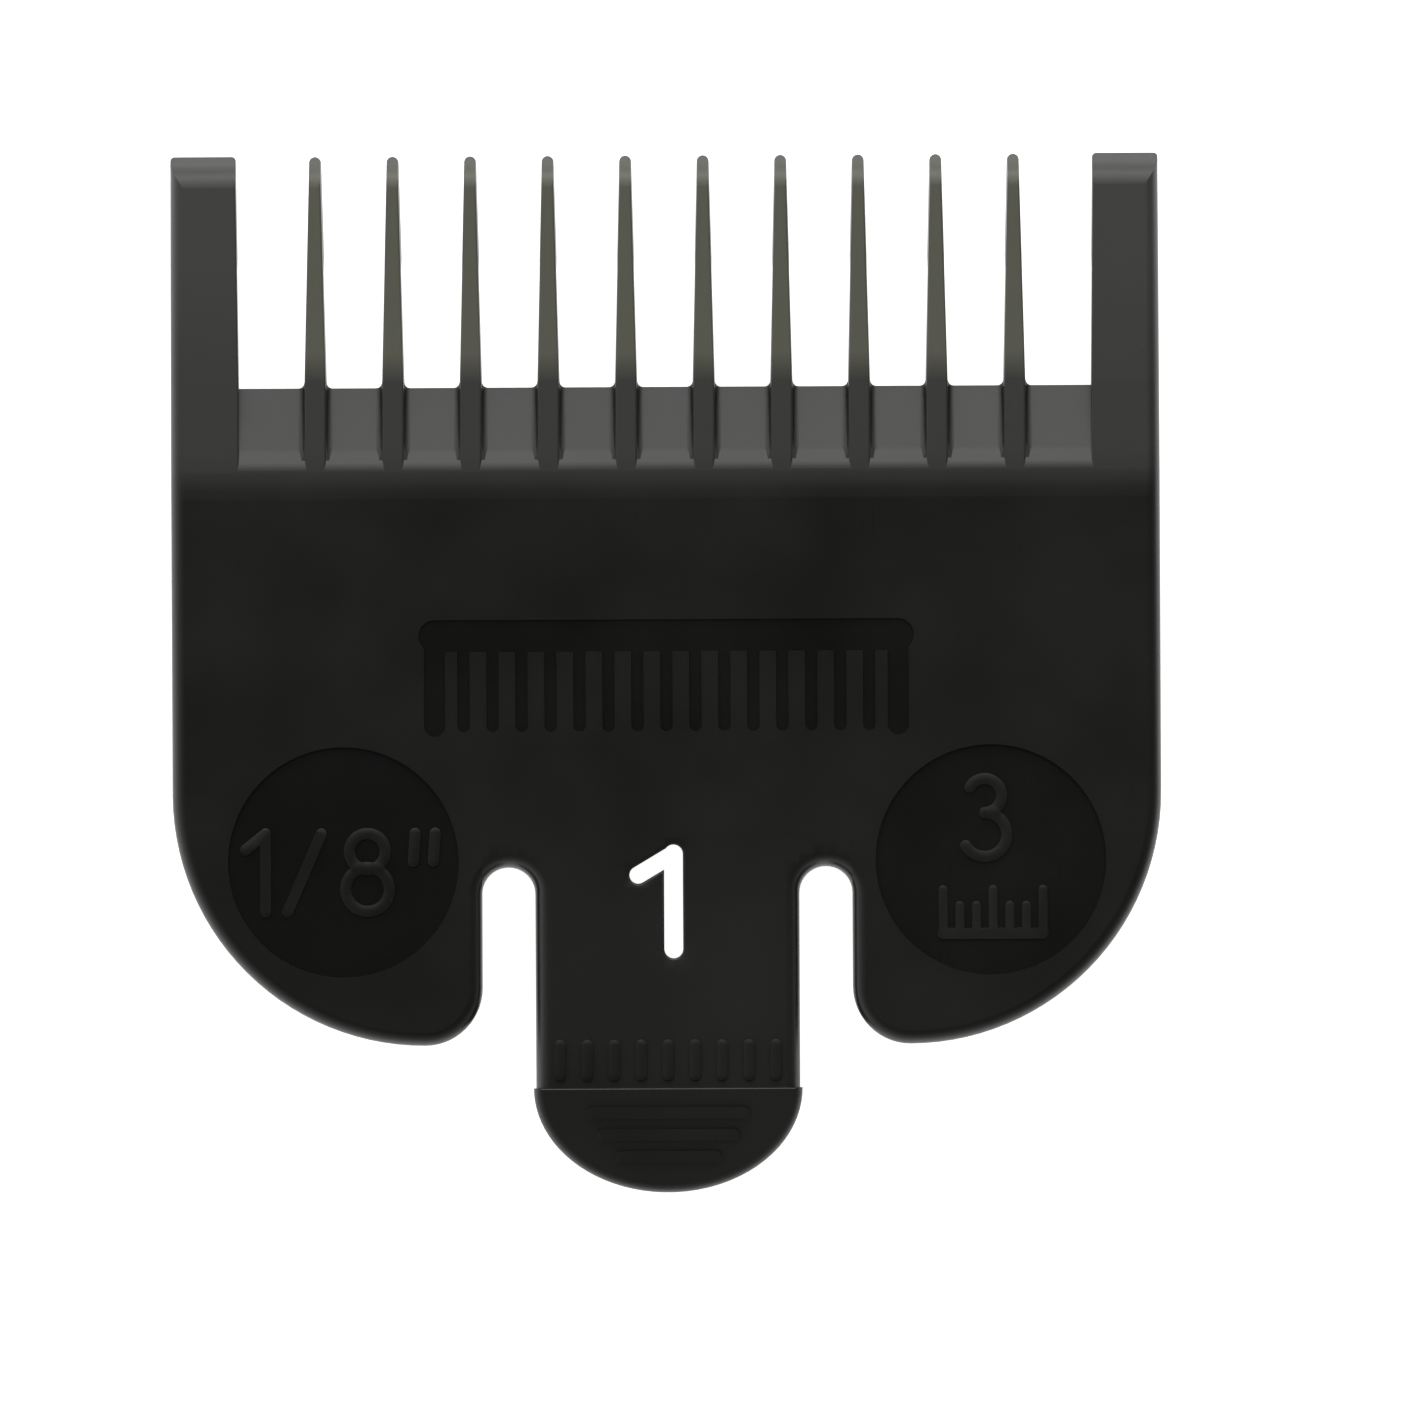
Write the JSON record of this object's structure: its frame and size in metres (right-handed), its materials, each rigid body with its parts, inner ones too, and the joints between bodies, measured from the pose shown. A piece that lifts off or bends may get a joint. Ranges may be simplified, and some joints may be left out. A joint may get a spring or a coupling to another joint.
{
  "type": "clipper guard comb",
  "caption": "Flat clip-on guard comb for a hair clipper blade, with spaced teeth, end hooks and a flexing release tab at the rear.",
  "frame": {"origin": "middle of the outline, level with the lowest points of the hooks on the blade side", "axes": "+Y from the release tab to the tooth tips, +X across the teeth, +Z out of the outer (skin side) face"},
  "size_m": [0.0494, 0.052, 0.0065],
  "materials": {
    "black_nylon": "satin moulded nylon",
    "blade_side_nylon": "satin moulded nylon, blade side",
    "raised_marks": "satin, slightly polished on top"
  },
  "bodies": {
    "comb_body": {"face_plate": "black_nylon", "left_lobe": "black_nylon", "right_lobe": "black_nylon", "tooth_web": "black_nylon", "tooth_01": "black_nylon", "tooth_02": "black_nylon", "tooth_03": "black_nylon", "tooth_04": "black_nylon", "tooth_05": "black_nylon", "tooth_06": "black_nylon", "tooth_07": "black_nylon", "tooth_08": "black_nylon", "tooth_09": "black_nylon", "tooth_10": "black_nylon", "end_tooth_left": "black_nylon", "end_tooth_right": "black_nylon", "corner_claw_left": "blade_side_nylon", "corner_claw_right": "blade_side_nylon", "side_rail_left": "blade_side_nylon", "side_rail_right": "blade_side_nylon", "tab_root": "black_nylon", "size_mark_inch": "raised_marks", "size_mark_mm": "raised_marks"},
    "release_tab": {"tab_tongue": "black_nylon", "thumb_pad": "black_nylon", "blade_catch": "blade_side_nylon", "grip_marks": "raised_marks"}
  },
  "joints": [
    {"name": "release_tab_flex", "type": "hinge", "parent": "comb_body", "child": "release_tab", "pos_m": [0, -0.0123, 0.0052], "axis": [-1, 0, 0], "range_deg": [-2, 14], "stiffness_Nm_per_rad": 0.8}
  ]
}
